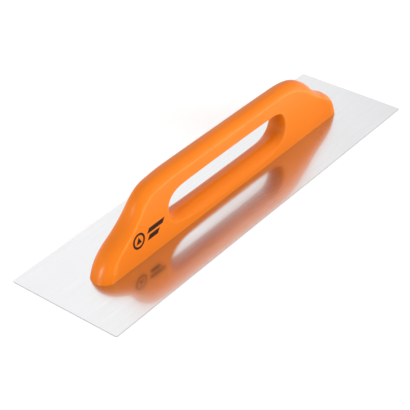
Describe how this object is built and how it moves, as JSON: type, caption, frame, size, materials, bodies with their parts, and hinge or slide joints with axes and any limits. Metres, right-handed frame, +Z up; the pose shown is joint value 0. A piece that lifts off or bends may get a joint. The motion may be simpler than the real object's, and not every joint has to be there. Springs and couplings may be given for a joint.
{
  "type": "finishing trowel",
  "caption": "Long finishing trowel: a thin flat rectangular blade carrying a closed-loop handle with a straight grip, a finger opening and a sloping nose.",
  "frame": {"origin": "on the underside of the blade, at the middle of its length and width", "axes": "+X along the blade from the handle's sloping nose to its blunt tail, +Y across the blade towards the shell with the plugged screws, +Z up from the blade to the grip"},
  "size_m": [0.48, 0.13, 0.0767],
  "materials": {
    "blade_steel": "bright stainless, finely polished",
    "rail_aluminium": "plain extruded",
    "rivet_metal": "satin",
    "handle_plastic": "orange, semi-gloss moulded",
    "screw_steel": "zinc plated",
    "print_ink": "dark brown pad print"
  },
  "bodies": {
    "root": {"blade": "blade_steel", "mounting_rail": "rail_aluminium", "rail_rivets": "rivet_metal", "left_shell": "handle_plastic", "right_shell": "handle_plastic", "nose_screws": "screw_steel", "grip_screws": "screw_steel", "tail_screws": "screw_steel", "nose_plugs": "handle_plastic", "grip_plugs": "handle_plastic", "tail_plugs": "handle_plastic", "side_print": "print_ink"}
  },
  "joints": []
}
